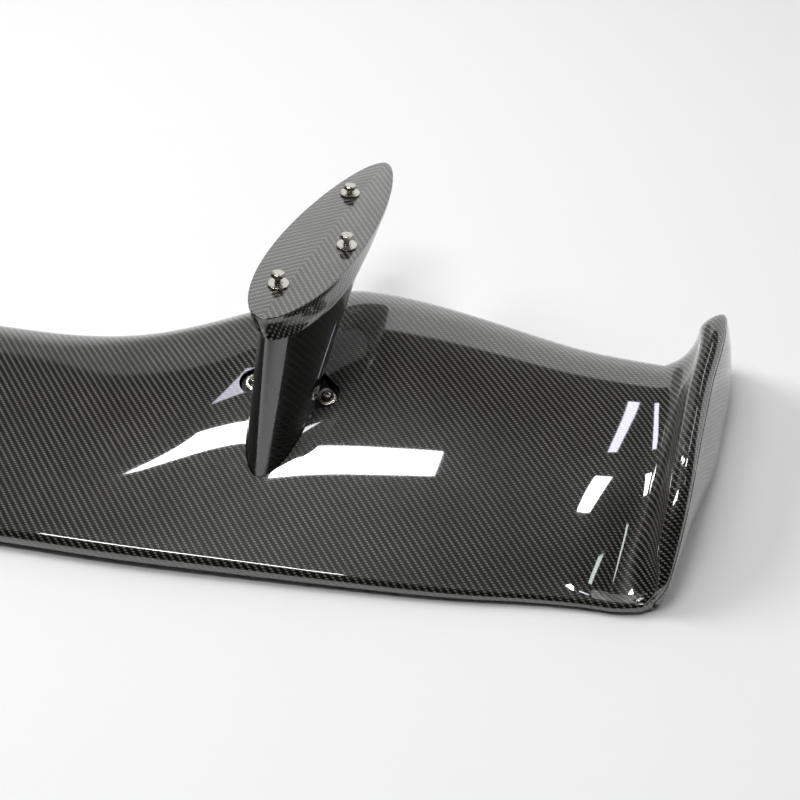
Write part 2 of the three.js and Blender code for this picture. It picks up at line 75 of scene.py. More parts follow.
def table_at(table: Table, position: float) -> float:
    """Value of a table at a position, on a smooth curve through its rows.

    Args:
        table: Pairs of position and value, in rising order of position.
        position: Where to read. Its sign is ignored, and it is held inside the table.

    Returns:
        The value there.
    """
    last = len(table) - 1
    x = min(max(abs(position), table[0][0]), table[last][0])

    def rise(i: int) -> float:
        return (table[i + 1][1] - table[i][1]) / (table[i + 1][0] - table[i][0])

    def slope(i: int) -> float:
        if i in (0, last) or rise(i - 1) * rise(i) <= 0:
            return 0.0
        return 2 * rise(i - 1) * rise(i) / (rise(i - 1) + rise(i))

    i = next(n for n in range(last) if n == last - 1 or x <= table[n + 1][0])
    width = table[i + 1][0] - table[i][0]
    s = (x - table[i][0]) / width
    base = lerp(table[i][1], table[i + 1][1], s * s * (3 - 2 * s))
    return base + width * s * (1 - s) * (slope(i) * (1 - s) - slope(i + 1) * s)


def steps(first: float, last: float, count: int) -> list[float]:
    """Evenly spaced values from first to last, both included.

    Args:
        first: Value at the start.
        last: Value at the end.
        count: Number of spaces between them.

    Returns:
        The values, one more than count.
    """
    return [lerp(first, last, k / count) for k in range(count + 1)]


def linear(code: str) -> tuple[float, float, float, float]:
    """Linear colour from an sRGB hex code.

    Args:
        code: Hex code such as "1a2b3c".

    Returns:
        Linear red, green and blue, and an alpha of 1.
    """
    channels = (int(code[k:k + 2], 16) / 255 for k in (0, 2, 4))
    values = (c / 12.92 if c <= 0.04045 else ((c + 0.055) / 1.055) ** 2.4 for c in channels)
    return (*values, 1.0)


class Side(Enum):
    """Half of the wing that a piece belongs to."""

    RIGHT = 1
    LEFT = -1

    @property
    def word(self) -> str:
        """Start of the names of this side's pieces."""
        return self.name.lower() + "_"


# ---- Finishes ------------------------------------------------------------------------


def put(tree: bpy.types.NodeTree, kind: str, inputs: dict | None = None, **settings) -> bpy.types.Node:
    """Adds a node to a tree.

    Args:
        tree: The node tree.
        kind: Blender's name of the node type.
        inputs: Socket name or index to a value, or to the output socket linked into it.
        settings: Properties of the node.

    Returns:
        The new node.
    """
    node = tree.nodes.new(kind)
    for name, value in settings.items():
        setattr(node, name, value)
    for key, value in (inputs or {}).items():
        if isinstance(value, bpy.types.NodeSocket):
            tree.links.new(value, node.inputs[key])
        else:
            node.inputs[key].default_value = value
    return node


def new_material(name: str) -> tuple[bpy.types.Material, bpy.types.NodeTree]:
    """Empty node material and its tree."""
    material = bpy.data.materials.new(name)
    material.use_nodes = True
    material.node_tree.nodes.clear()
    return material, material.node_tree


@dataclass(frozen=True)
class TwillCarbon:
    """Carbon cloth in 2x2 twill, laminated and, where glossy, sprayed with clear lacquer.

    The eye sees diagonal rows of pale floats, where the tows that lie along the span catch
    the light, between dark rows, where the crossing tows look away from it. The lacquer is
    flat and gives sharp reflections over the rounded tows.
    """

    name: str
    tow: float = 1.667  # width of a tow along the span, in mm
    cross_tow: float = 1.85  # the cloth is packed less tightly along the chord
    # pale is a painted sheen: the span tows' highlight from the lights, put into their colour. dark is the
    # painted shade of the crossing tows, which face away from the lights.
    pale: str = "7d7b70"
    dark: str = "0d0e12"
    # Painted shade towards the edges of the floats, which narrows the painted sheen to their crowns.
    float_edge_painted_shade: str = "050506"
    coat: float = 1.0
    rough: float = 0.34
    relief: float = 0.35

    def build(self) -> bpy.types.Material:
        """Makes the material, which reads the piece's UV map in metres of cloth."""
        material, tree = new_material(self.name)
        uv = put(tree, "ShaderNodeUVMap", uv_map="cloth").outputs["UV"]
        apart = put(tree, "ShaderNodeSeparateXYZ", {"Vector": uv})
        weft = self._tow(tree, apart.outputs["X"], self.tow * MM)
        warp = self._tow(tree, apart.outputs["Y"], self.cross_tow * MM)
        number = put(tree, "ShaderNodeMath", {0: weft["index"], 1: warp["index"]}, operation="ADD")
        cycle = put(tree, "ShaderNodeMath", {0: number.outputs[0], 1: 4.0}, operation="FLOORED_MODULO")
        phase = cycle.outputs[0]
        span_on_top = put(tree, "ShaderNodeMath", {0: phase, 1: 1.5}, operation="GREATER_THAN").outputs[0]
        span_float = self._float(tree, phase, weft["inside"], warp["inside"], 2.0)
        chord_float = self._float(tree, phase, warp["inside"], weft["inside"], 0.0)
        height = put(
            tree, "ShaderNodeMix", {0: span_on_top, 2: chord_float, 3: span_float}, data_type="FLOAT",
        )
        coordinates = put(tree, "ShaderNodeTexCoord").outputs["Object"]
        # Tows differ a little in tension over a few centimetres, which clouds the cloth.
        cloud = put(tree, "ShaderNodeTexNoise", {"Vector": coordinates, "Scale": 26.0, "Detail": 2.0})
        # Broken filaments speckle the floats at about half a millimetre.
        fleck = put(tree, "ShaderNodeTexNoise", {"Vector": coordinates, "Scale": 1900.0, "Detail": 1.0})
        shade = put(tree, "ShaderNodeMapRange", {0: cloud.outputs[0], 1: 0.3, 2: 0.7, 3: 0.78, 4: 1.12})
        speck = put(tree, "ShaderNodeMapRange", {0: fleck.outputs[0], 1: 0.3, 2: 0.7, 3: 0.72, 4: 1.2})
        both = put(tree, "ShaderNodeMath", {0: shade.outputs[0], 1: speck.outputs[0]}, operation="MULTIPLY")
        # Span tows on top take the pale painted sheen, crossing tows the dark painted shade.
        tow_colour = put(
            tree, "ShaderNodeMix",
            {0: span_on_top, 6: linear(self.dark), 7: linear(self.pale)}, data_type="RGBA",
        )
        lit = put(
            tree, "ShaderNodeVectorMath",
            {0: tow_colour.outputs[2], "Scale": both.outputs[0]}, operation="SCALE",
        )
        # Painted shade: the colour darkens from the floats' crowns to their edges, so that the painted sheen
        # stays on the crowns.
        edge = put(tree, "ShaderNodeMapRange", {0: height.outputs[0], 1: 0.45, 2: 0.95, 3: 0.0, 4: 1.0})
        colour = put(
            tree, "ShaderNodeMix",
            {0: edge.outputs[0], 6: linear(self.float_edge_painted_shade), 7: lit.outputs[0]}, data_type="RGBA",
        )
        bump = put(
            tree, "ShaderNodeBump",
            {"Height": height.outputs[0], "Strength": self.relief, "Distance": 0.12 * MM},
        )
        shader = put(tree, "ShaderNodeBsdfPrincipled", {
            "Base Color": colour.outputs[2],
            "Roughness": self.rough,
            "Metallic": 0.0,
            "IOR": 1.45,
            "Specular IOR Level": 0.35,
            "Coat Weight": self.coat,
            "Coat Roughness": 0.03,
            "Coat IOR": 2.0,
            "Normal": bump.outputs["Normal"],
        })
        put(tree, "ShaderNodeOutputMaterial", {"Surface": shader.outputs["BSDF"]})
        return material

    def _tow(self, tree: bpy.types.NodeTree, along: bpy.types.NodeSocket, width: float) -> dict:
        """Counts tows of a width in metres.

        Returns:
            Sockets of the tow's index and of the place inside it, from 0 to 1.
        """
        count = put(tree, "ShaderNodeMath", {0: along, 1: width}, operation="DIVIDE").outputs[0]
        return {
            "index": put(tree, "ShaderNodeMath", {0: count}, operation="FLOOR").outputs[0],
            "inside": put(tree, "ShaderNodeMath", {0: count}, operation="FRACT").outputs[0],
        }

    def _float(
        self, tree: bpy.types.NodeTree, phase: bpy.types.NodeSocket, along: bpy.types.NodeSocket,
        across: bpy.types.NodeSocket, first: float,
    ) -> bpy.types.NodeSocket:
        """Height, from 0 to 1, of a tow that floats over two others.

        Args:
            tree: The node tree.
            phase: Step of the twill, from 0 to 3.
            along: Place inside the crossed tow, along the float.
            across: Place across the floating tow.
            first: Phase at which this float begins.
        """
        passed = put(tree, "ShaderNodeMath", {0: phase, 1: first}, operation="SUBTRACT").outputs[0]
        place = put(tree, "ShaderNodeMath", {0: passed, 1: along}, operation="ADD").outputs[0]
        turn = put(tree, "ShaderNodeMath", {0: place, 1: math.pi / 2}, operation="MULTIPLY").outputs[0]
        rise = put(tree, "ShaderNodeMath", {0: turn}, operation="SINE").outputs[0]
        lift = put(tree, "ShaderNodeMath", {0: rise, 1: 0.35}, operation="POWER").outputs[0]
        half_turn = put(tree, "ShaderNodeMath", {0: across, 1: math.pi}, operation="MULTIPLY").outputs[0]
        crown = put(tree, "ShaderNodeMath", {0: half_turn}, operation="SINE").outputs[0]
        round_top = put(tree, "ShaderNodeMath", {0: crown, 1: 0.7}, operation="POWER").outputs[0]
        return put(tree, "ShaderNodeMath", {0: lift, 1: round_top}, operation="MULTIPLY").outputs[0]


@dataclass(frozen=True)
class TurnedMetal:
    """Bare metal with the fine marks that turning, rolling or milling leaves on it.

    The marks stretch the highlights a little and keep them from looking poured.
    """

    name: str
    colour: str
    worn: str
    rough: float
    grain: float = 0.25  # spacing of the marks in mm, drawn coarser than real so that they show
    stretch: tuple[float, float, float] = (1.0, 1.0, 0.15)

    def build(self) -> bpy.types.Material:
        """Makes the material, which reads the place in the frame."""
        material, tree = new_material(self.name)
        coordinates = put(tree, "ShaderNodeTexCoord").outputs["Object"]
        mapped = put(tree, "ShaderNodeMapping", {"Vector": coordinates, "Scale": self.stretch})
        per_metre = 1 / (self.grain * MM)
        marks = put(
            tree, "ShaderNodeTexNoise", {"Vector": mapped.outputs[0], "Scale": per_metre, "Detail": 3.0},
        )
        stain = put(tree, "ShaderNodeTexNoise", {"Vector": coordinates, "Scale": 140.0, "Detail": 2.0})
        colour = put(
            tree, "ShaderNodeMix",
            {0: stain.outputs[0], 6: linear(self.colour), 7: linear(self.worn)}, data_type="RGBA",
        )
        rough = put(
            tree, "ShaderNodeMapRange",
            {0: marks.outputs[0], 1: 0.3, 2: 0.7, 3: 0.7 * self.rough, 4: 1.4 * self.rough},
        )
        bump = put(
            tree, "ShaderNodeBump", {"Height": marks.outputs[0], "Strength": 0.12, "Distance": 0.02 * MM},
        )
        shader = put(tree, "ShaderNodeBsdfPrincipled", {
            "Base Color": colour.outputs[2],
            "Metallic": 1.0,
            "Roughness": rough.outputs[0],
            "Normal": bump.outputs["Normal"],
        })
        put(tree, "ShaderNodeOutputMaterial", {"Surface": shader.outputs["BSDF"]})
        return material


@dataclass(frozen=True)
class BareLaminate:
    """Unlacquered carbon laminate of the hidden frame, matt from the vacuum bag."""

    name: str = "bare_vacuum_bagged_carbon"
    tow: float = 2.0  # mm

    def build(self) -> bpy.types.Material:
        """Makes the material, a plain weave on the place in the frame."""
        material, tree = new_material(self.name)
        coordinates = put(tree, "ShaderNodeTexCoord").outputs["Object"]
        repeat = 1 / (2 * self.tow * MM)
        checks = put(tree, "ShaderNodeTexChecker", {
            "Vector": coordinates, "Scale": repeat, "Color1": linear("2e2e30"), "Color2": linear("19191b"),
        })
        bag = put(tree, "ShaderNodeTexNoise", {"Vector": coordinates, "Scale": 300.0, "Detail": 4.0})
        bump = put(
            tree, "ShaderNodeBump", {"Height": bag.outputs[0], "Strength": 0.3, "Distance": 0.3 * MM},
        )
        shader = put(tree, "ShaderNodeBsdfPrincipled", {
            "Base Color": checks.outputs[0], "Roughness": 0.6, "IOR": 1.5, "Normal": bump.outputs["Normal"],
        })
        put(tree, "ShaderNodeOutputMaterial", {"Surface": shader.outputs["BSDF"]})
        return material


# ---- Making and handing over pieces -----------------------------------------------------


def surface(
    rows: Sequence, columns: Sequence, point: Callable,
    cloth: Callable | None = None, fair: Callable | None = None,
) -> BMesh:
    """Sheet through a grid of places.

    Args:
        rows: Row descriptions, passed to point.
        columns: Column descriptions, passed to point.
        point: Gives the place, in mm, of a row and a column.
        cloth: Gives the cloth coordinates, in metres, from the grid of places, its row and
            its column. Without it the sheet has no cloth.
        fair: Smooths the grid of places before it is used.

    Returns:
        The sheet, with its map of the cloth.
    """
    bm = bmesh.new()
    bmesh.ops.create_grid(bm, x_segments=len(columns) - 1, y_segments=len(rows) - 1, size=1.0)
    places = [[point(row, column) for column in columns] for row in rows]
    if fair:
        fair(places)
    spots = {}
    for vert in bm.verts:
        r = round((vert.co.y + 1) / 2 * (len(rows) - 1))
        c = round((vert.co.x + 1) / 2 * (len(columns) - 1))
        spots[vert] = (r, c)
        vert.co = places[r][c]
    if cloth:
        table = cloth(places)
        layer = bm.loops.layers.uv.new("cloth")
        for face in bm.faces:
            for loop in face.loops:
                r, c = spots[loop.vert]
                loop[layer].uv = table[r][c]
    return bm


def run_lengths(places: Sequence[Vector]) -> list[float]:
    """Distances along a line of places.

    Args:
        places: The places, in mm.

    Returns:
        Distance in mm of each place from the first.
    """
    lengths = [0.0]
    for before, after in zip(places, places[1:]):
        lengths.append(lengths[-1] + (after - before).length)
    return lengths


def as_object(bm: BMesh, name: str) -> bpy.types.Object:
    """Makes a scene object that takes over a bmesh.

    Args:
        bm: The bmesh, which is freed.
        name: Name of the object and its mesh.

    Returns:
        The object.
    """
    mesh = bpy.data.meshes.new(name)
    bm.to_mesh(mesh)
    bm.free()
    obj = bpy.data.objects.new(name, mesh)
    bpy.context.scene.collection.objects.link(obj)
    return obj


def settle(obj: bpy.types.Object) -> bpy.types.Object:
    """Applies an object's modifiers to its mesh.

    Args:
        obj: The object.

    Returns:
        The same object.
    """
    bpy.context.view_layer.update()
    shown = obj.evaluated_get(bpy.context.evaluated_depsgraph_get())
    mesh = bpy.data.meshes.new_from_object(shown)
    obj.modifiers.clear()
    old = obj.data
    obj.data = mesh
    bpy.data.meshes.remove(old)
    return obj


def cut(obj: bpy.types.Object, cutters: Sequence[BMesh], operation: str = "DIFFERENCE") -> bpy.types.Object:
    """Cuts, joins or intersects an object with closed shapes.

    Args:
        obj: The object.
        cutters: Closed shapes, which are used up.
        operation: Blender's name of the Boolean operation.

    Returns:
        The same object.
    """
    for number, shape in enumerate(cutters):
        tool = as_object(shape, f"cutter_{number}")
        modifier = obj.modifiers.new("cut", "BOOLEAN")
        modifier.object = tool
        modifier.operation = operation
        modifier.solver = "MANIFOLD"
        settle(obj)
        bpy.data.objects.remove(tool)
    return obj


def thicken(obj: bpy.types.Object, thickness: float) -> bpy.types.Object:
    """Gives a sheet its wall, inwards from its outer face.

    Args:
        obj: The sheet.
        thickness: Thickness of the wall in mm.

    Returns:
        The same object.
    """
    modifier = obj.modifiers.new("wall", "SOLIDIFY")
    modifier.thickness = thickness
    modifier.offset = -1.0
    modifier.use_even_offset = False
    return settle(obj)


@dataclass
class Workshop:
    """Finishes that pieces are dressed in, and the last step of making each piece."""

    materials: dict[str, bpy.types.Material]

    def hand_over(
        self, obj: bpy.types.Object, side: Side, finish: str, slot: str, body: str, nodes: Sequence[str],
        sharp: float = 32.0,
    ) -> bpy.types.Object:
        """Moves a piece from millimetres into the frame, dresses it and ties it to its body.

        Args:
            obj: The piece, made for the right-hand side.
            side: Half of the wing that it is for.
            finish: Name of its finish.
            slot: The record's material slot. Not used.
            body: Body that it rides on.
            nodes: Design nodes that it stands for.
            sharp: Angle in degrees from which an edge looks sharp.

        Returns:
            The piece.
        """
        bm = bmesh.new()
        bm.from_mesh(obj.data)
        bmesh.ops.translate(bm, vec=(0, DATUM_Y, 0), verts=bm.verts)
        bmesh.ops.scale(bm, vec=(side.value * MM, MM, MM), verts=bm.verts)
        if side is Side.LEFT:
            bmesh.ops.reverse_faces(bm, faces=bm.faces)
        for face in bm.faces:
            face.smooth = True
        bm.to_mesh(obj.data)
        bm.free()
        obj.data.set_sharp_from_angle(angle=math.radians(sharp))
        obj.data.materials.clear()
        obj.data.materials.append(self.materials[finish])
        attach(obj, body)
        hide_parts(*nodes)
        log.info("%s: %d faces, rides on %s", obj.name, len(obj.data.polygons), body)
        return obj

    def dress_node(self, name: str, finish: str) -> None:
        """Gives a design node that stays as it is one of the finishes."""
        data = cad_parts[name].data
        data.materials.clear()
        data.materials.append(self.materials[finish])
        log.info("%s: design node, dressed in %s", name, finish)


# ---- Blade ----------------------------------------------------------------------------


class Zone(Enum):
    """Stretch of a chordwise section."""

    EDGE = "round trailing edge"
    FACE = "trailing edge to crest"
    NOSE = "crest to leading seam"


@dataclass(frozen=True)
class Row:
    """Line along the span: a zone and a place in it, an angle in degrees or a share."""

    zone: Zone
    at: float

    @property
    def angle(self) -> float:
        """The place as an angle in radians."""
        return math.radians(self.at)


@dataclass(frozen=True)
class BladeForm:
    """Outer surfaces of the two skins, with their sizes in mm.

    A station is a place along the span. Beyond half, each unit of it is one stage of the
    side: shoulder, wall and rim on the belly, and run, corner and face on the top.
    """

    half: float = 630.0
    crest_at: float = 0.84
    arch: float = 5.0
    part_line: float = 0.31
    skin: float = 2.4
    trailing: Table = ((0, -34.5), (230, -34.5), (370, -29), (530, -19.5), (650, -6))
    edge: Table = ((0, 10), (250, 10), (460, 8), (570, 6.2), (650, 5.5))
    fullness: Table = ((0, 0.8), (150, 0.8), (400, 1))
    leading: Table = (
        (0, 200), (120, 200), (200, 209), (295, 248), (400, 298), (450, 294),
        (560, 271), (640, 253), (720, 246),
    )
    crest: Table = ((0, 35), (150, 35), (245, 43), (345, 60), (410, 65), (500, 64), (650, 57.5))
    rim_y: tuple[float, float] = (3.0, 255.0)
    rim_x: Table = ((3, 700), (9, 707), (18, 710), (65, 717), (113, 722), (182, 731), (255, 742))
    rim_z: Table = ((3, 9), (10, 25), (40, 48), (65, 64), (113, 80), (182, 86), (255, 94))
    rim_width: Table = ((3, 7), (40, 17), (255, 22))
    foot_line: Table = ((3, 705), (60, 722), (104, 736), (150, 749), (200, 757), (255, 764))
    valley_x: Table = ((3, 668), (45, 674), (105, 686), (255, 697))
    valley_drop: Table = ((3, 9), (60, 9), (140, 6), (255, 3))
    front_reach: float = 40.0
    front_low_z: float = 12.0
    front_low_x: float = 752.0
    face_bulge: float = 3.0
    roll: float = 0.78  # share of the shoulder that is round before the hollow begins

    def trailing_y(self, x: float) -> float:
        """Trailing edge."""
        return table_at(self.trailing, x)

    def edge_r(self, x: float) -> float:
        """Radius of the trailing edge's round nose."""
        return table_at(self.edge, x)

    def leading_y(self, x: float) -> float:
        """Leading edge."""
        return table_at(self.leading, x)

    def crest_y(self, x: float) -> float:
        """Line of the thickest sections."""
        return lerp(self.trailing_y(x), self.leading_y(x), self.crest_at)

    def seam_z(self, x: float) -> float:
        """Height of the leading seam."""
        return self.part_line * table_at(self.crest, x)

    def belly_flat(self, row: Row, x: float) -> Vector:
        """Place on the belly between the end plates.

        Args:
            row: Line along the span.
            x: Place along the span.

        Returns:
            The place.
        """
        radius = self.edge_r(x)
        if row.zone is Zone.EDGE:
            y = self.trailing_y(x) + radius * (1 - math.cos(row.angle))
            return Vector((x, y, radius * (1 + math.sin(row.angle))))
        crest_z = table_at(self.crest, x)
        if row.zone is Zone.FACE:
            y = lerp(self.trailing_y(x) + radius, self.crest_y(x), row.at)
            full = math.sin(math.pi / 2 * row.at) ** table_at(self.fullness, x)
            return Vector((x, y, lerp(2 * radius, crest_z, full)))
        y = self.crest_y(x) + (self.leading_y(x) - self.crest_y(x)) * math.sin(row.angle)
        return Vector((x, y, self.seam_z(x) + (crest_z - self.seam_z(x)) * math.cos(row.angle)))

    def rim(self, row: Row) -> Vector:
        """Outer edge of the end plate's rim, where the two skins meet.

        Args:
            row: Line along the span.

        Returns:
            The place.
        """
        first, last = self.rim_y
        if row.zone is Zone.EDGE:
            low = self.rim_z[0][1]
            return Vector((self.rim_x[0][1], first, lerp(1, low - 1, row.angle / math.pi + 0.5)))
        if row.zone is Zone.FACE:
            y = lerp(first, last, row.at)
            return Vector((table_at(self.rim_x, y), y, table_at(self.rim_z, y)))
        top_z = table_at(self.rim_z, last)
        return Vector((
            lerp(table_at(self.rim_x, last), self.front_low_x, 1 - math.cos(row.angle)),
            last + self.front_reach * math.sin(row.angle),
            self.front_low_z + (top_z - self.front_low_z) * math.cos(row.angle),
        ))

    def cheek(self, row: Row, stage: float) -> Vector:
        """Place on the belly skin past the blade.

        Args:
            row: Line along the span.
            stage: Shoulder up to 1, wall up to 2, rim up to 3.

        Returns:
            The place.
        """
        start = self.belly_flat(row, self.half)
        rim = self.rim(row)
        y = min(max(rim.y, self.rim_y[0]), self.rim_y[1])
        is_edge = row.zone is Zone.EDGE
        fade = math.cos(row.angle) if row.zone is Zone.NOSE else 1.0
        opening = min(1.0, row.at / 0.05) if row.zone is Zone.FACE else 1.0
        drop = 0.0 if is_edge else table_at(self.valley_drop, y) * fade * opening
        width = self.rim_width[0][1] if is_edge else table_at(self.rim_width, y)
        valley = Vector((table_at(self.valley_x, y), start.y, start.z - drop))
        crown_z = valley.z if is_edge else rim.z - 2
        if row.zone is Zone.FACE:
            crown_z = max(crown_z, valley.z)
        crown = Vector((rim.x - width, lerp(start.y, rim.y, 0.6), max(crown_z, 0)))
        if stage <= 1:
            rest = 1 - stage
            ease = stage * stage / self.roll if stage < self.roll else 1 - rest * rest / (1 - self.roll)
            return Vector((lerp(start.x, valley.x, stage), start.y, lerp(start.z, valley.z, ease)))
        if stage <= 2:
            turn = (stage - 1) * math.pi / 2
            return Vector((
                lerp(valley.x, crown.x, math.sin(turn)),
                lerp(valley.y, crown.y, stage - 1),
                lerp(valley.z, crown.z, 1 - math.cos(turn)),
            ))
        turn = (stage - 2) * math.pi
        point = crown.lerp(rim, (1 - math.cos(turn)) / 2)
        point.z += 0.0 if is_edge else 0.4 * width * fade * math.sin(turn)
        return point

    def belly(self, row: Row, station: float) -> Vector:
        """Place on the belly skin.

        Args:
            row: Line along the span.
            station: Place along the span, with the stages of the side past the blade.

        Returns:
            The place.
        """
        x = abs(station)
        point = self.belly_flat(row, x) if x <= self.half else self.cheek(row, x - self.half)
        point.x = math.copysign(point.x, station)
        return point

    def top_flat(self, row: Row, x: float) -> Vector:
        """Place on the top skin between the end plates, which lies on the floor.

        Args:
            row: Line along the span.
            x: Place along the span.

        Returns:
            The place.
        """
        if row.zone is Zone.FACE:
            start = self.trailing_y(x) + self.edge_r(x) + GAP
            hollow = self.arch * math.sin(math.pi * row.at) ** 2
            return Vector((x, lerp(start, self.crest_y(x), row.at), hollow))
        y = self.crest_y(x) + (self.leading_y(x) - self.crest_y(x)) * math.sin(row.angle)
        return Vector((x, y, (self.seam_z(x) - GAP) * (1 - math.cos(row.angle))))

    def outer(self, row: Row, stage: float) -> Vector:
        """Place on the top skin past the blade.

        Args:
            row: Line along the span.
            stage: Run up to 1, corner up to 2, face up to 3.

        Returns:
            The place.
        """
        start = self.top_flat(row, self.half)
        rim = self.rim(row)
        y = min(max(rim.y, self.rim_y[0]), self.rim_y[1])
        is_nose = row.zone is Zone.NOSE
        lift = 1 - math.cos(row.angle) if is_nose else 0.0
        rim += Vector((lerp(2 * GAP, self.skin + 5 * GAP, math.sqrt(lift)), 0, -GAP))
        foot_x = lerp(table_at(self.foot_line, y), self.front_low_x + 3, lift)
        foot_y = rim.y + (0 if is_nose else 3 * (1 - row.at))
        radius = lerp(min(9, rim.z * 0.5), 3, lift)
        floor_z = lerp(0, self.front_low_z * 0.7, lift)
        if stage <= 1:
            end = Vector((foot_x - radius, foot_y, floor_z))
            flat = start.lerp(end, stage)
            flat.z = lerp(start.z, floor_z, stage * (2 - stage))
            return flat.lerp(self._seam_run(stage, end), lift)
        if stage <= 2:
            turn = (stage - 1) * math.pi / 2
            along, up = radius * math.sin(turn), radius * (1 - math.cos(turn))
            return Vector((foot_x - radius + along, foot_y, floor_z + up))
        share = stage - 2
        point = Vector((foot_x, foot_y, floor_z + radius)).lerp(rim, share)
        point.x += self.face_bulge * math.sin(math.pi * share) * (1 - lift)
        return point

    def _seam_run(self, stage: float, end: Vector) -> Vector:
        """Line just under the belly skin's leading edge.

        Args:
            stage: From 0 at the blade to 1 at the end plate.
            end: Where the run ends at the end plate.

        Returns:
            The place.
        """
        last = Row(Zone.NOSE, 90)
        valley_at, crown_at = 0.45, 0.8
        if stage <= valley_at:
            place = self.cheek(last, stage / valley_at)
        elif stage <= crown_at:
            place = self.cheek(last, 1 + (stage - valley_at) / (crown_at - valley_at))
        else:
            place = self.cheek(last, 2).lerp(end, (stage - crown_at) / (1 - crown_at))
        return place - Vector((0, 0, GAP))

    def top(self, row: Row, station: float) -> Vector:
        """Place on the top skin.

        Args:
            row: Line along the span.
            station: Place along the span, with the stages of the side past the blade.

        Returns:
            The place.
        """
        x = abs(station)
        point = self.top_flat(row, x) if x <= self.half else self.outer(row, x - self.half)
        point.x = math.copysign(point.x, station)
        return point


@dataclass
class Blade:
    """The two outer skins of the wing."""

    form: BladeForm
    workshop: Workshop
    station_step: float = 6.0
    side_stages: tuple[int, int, int] = (10, 16, 20)
    edge_rows: int = 14
    face_rows: int = 44
    nose_rows: int = 14
    fair_passes: int = 40
    fair_end: float = 664.0
    fair_fade: float = 24.0

    def _stations(self) -> list[float]:
        """Stations from the left rim to the right rim."""
        half = self.form.half
        flat = steps(0, half, round(half / self.station_step))
        side = []
        for stage, count in enumerate(self.side_stages):
            side += [half + stage + k / count for k in range(1, count + 1)]
        right = flat + side
        return [-x for x in reversed(right[1:])] + right

    def _rows(self, with_edge: bool) -> list[Row]:
        """Rows from the trailing edge to the leading seam.

        Args:
            with_edge: Whether to begin under the round nose of the trailing edge.

        Returns:
            The rows in order.
        """
        edge = [Row(Zone.EDGE, angle) for angle in steps(-90, 90, self.edge_rows)[:-1]]
        face = [Row(Zone.FACE, share ** 1.5) for share in steps(0, 1, self.face_rows)]
        nose = [Row(Zone.NOSE, angle) for angle in steps(0, 90, self.nose_rows)[1:]]
        return (edge if with_edge else []) + face + nose

    def _fair(self, places: list[list[Vector]]) -> None:
        """Fairs the blade along the span, less and less towards the end plates' walls.

        Args:
            places: Grid of places, changed in place.
        """
        reach = [abs(point.x) for point in places[0]]
        weights = [min(1.0, max(0.0, (self.fair_end - x) / self.fair_fade)) for x in reach]
        for row in places:
            for _ in range(self.fair_passes):
                heights = [(point.y, point.z) for point in row]
                for c in range(1, len(row) - 1):
                    for axis in (0, 1):
                        middle = (heights[c - 1][axis] + heights[c + 1][axis]) / 2
                        row[c][axis + 1] += 0.5 * weights[c] * (middle - heights[c][axis])

    def _cloth(self, first_row: int) -> Callable:
        """Cloth laid square to the span, and past the blade's ends by distance along the skin.

        Args:
            first_row: Row of the grid that chordwise distances are counted from.

        Returns:
            Function from the grid of places to its table of cloth coordinates, in metres.
        """

        def table(places: list[list[Vector]]) -> list[list[Vector]]:
            columns = [run_lengths(column) for column in zip(*places)]
            straight = [c for c, point in enumerate(places[0]) if abs(point.x) <= self.form.half + 1e-6]
            result = []
            for r, row in enumerate(places):
                runs = run_lengths(row)
                line = []
                for c in range(len(row)):
                    held = min(max(c, straight[0]), straight[-1])
                    across = row[held].x + runs[c] - runs[held]
                    along = places[first_row][c].y + columns[c][r] - columns[c][first_row]
                    line.append(Vector((across, along)) * MM)
                result.append(line)
            return result

        return table

    def belly(self, openings: Sequence[BMesh]) -> bpy.types.Object:
        """Makes the belly skin.

        Args:
            openings: Solids that cut the openings for the legs.

        Returns:
            The skin.
        """
        rows = self._rows(with_edge=True)
        bm = surface(rows, self._stations(), self.form.belly, self._cloth(self.edge_rows), self._fair)
        bm.normal_update()
        if self._faces_down(bm):
            bmesh.ops.reverse_faces(bm, faces=bm.faces)
        obj = thicken(as_object(bm, "belly_skin_moulding"), self.form.skin)
        cut(obj, openings)
        return self.workshop.hand_over(obj, Side.RIGHT, "twill", "gloss_carbon", "wing", ["belly_skin"])

    def _faces_down(self, bm: BMesh) -> bool:
        """Whether the face nearest the middle of the blade looks down."""
        face = min(bm.faces, key=lambda f: (f.calc_center_median() - Vector((0, 80, 30))).length)
        return face.normal.z < 0

    def top(self) -> bpy.types.Object:
        """Makes the top skin."""
        rows = self._rows(with_edge=False)
        bm = surface(rows, self._stations(), self.form.top, self._cloth(0), self._fair)
        bm.normal_update()
        if not self._faces_down(bm):
            bmesh.ops.reverse_faces(bm, faces=bm.faces)
        obj = thicken(as_object(bm, "top_skin_moulding"), self.form.skin)
        return self.workshop.hand_over(obj, Side.RIGHT, "twill", "gloss_carbon", "wing", ["top_skin"])


# ---- Legs and their fasteners ---------------------------------------------------------


@dataclass(frozen=True)
class Plane:
    """Plane whose Y runs along its heading and whose Z is its normal, in mm and degrees."""

    x: float
    y: float
    z: float
    tilt: float
    heading: float

    @property
    def matrix(self) -> Matrix:
        """Matrix from the plane to the design."""
        turn = Matrix.Rotation(-math.radians(self.heading), 4, "Z")
        lean = Matrix.Rotation(math.radians(self.tilt), 4, "X")
        return Matrix.Translation((self.x, self.y, self.z)) @ lean @ turn


